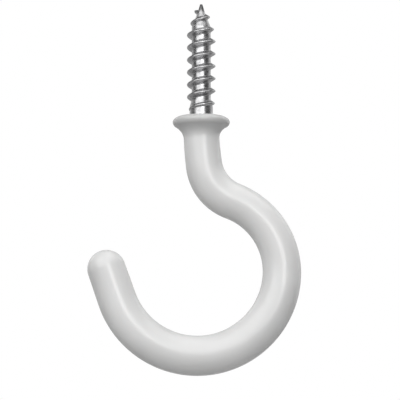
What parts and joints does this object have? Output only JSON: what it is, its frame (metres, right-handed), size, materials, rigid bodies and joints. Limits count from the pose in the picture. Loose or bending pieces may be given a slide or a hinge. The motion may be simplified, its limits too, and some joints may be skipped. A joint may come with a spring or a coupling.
{
  "type": "screw hook",
  "caption": "Round-bend screw hook: a steel wire with a wood-screw thread and a collar, dipped in white vinyl from the flanged seat down to the domed tip.",
  "frame": {"origin": "centre of the flange's flat seat, on the screw's axis, where the hook meets the ceiling, beam or shelf", "axes": "+Z along the screw's axis towards its point; the hook lies in the XZ plane, with its bowl bulging towards +X and its tip on the -X side; Y is square to the hook"},
  "size_m": [0.0283, 0.0076, 0.0501],
  "materials": {
    "plated_steel": "bright zinc plate, rolled and drawn marks left in it",
    "white_vinyl": "soft satin dip coat, a little waxy, with no grain"
  },
  "bodies": {
    "root": {"steel_hook": "plated_steel", "vinyl_coat": "white_vinyl"}
  },
  "joints": []
}
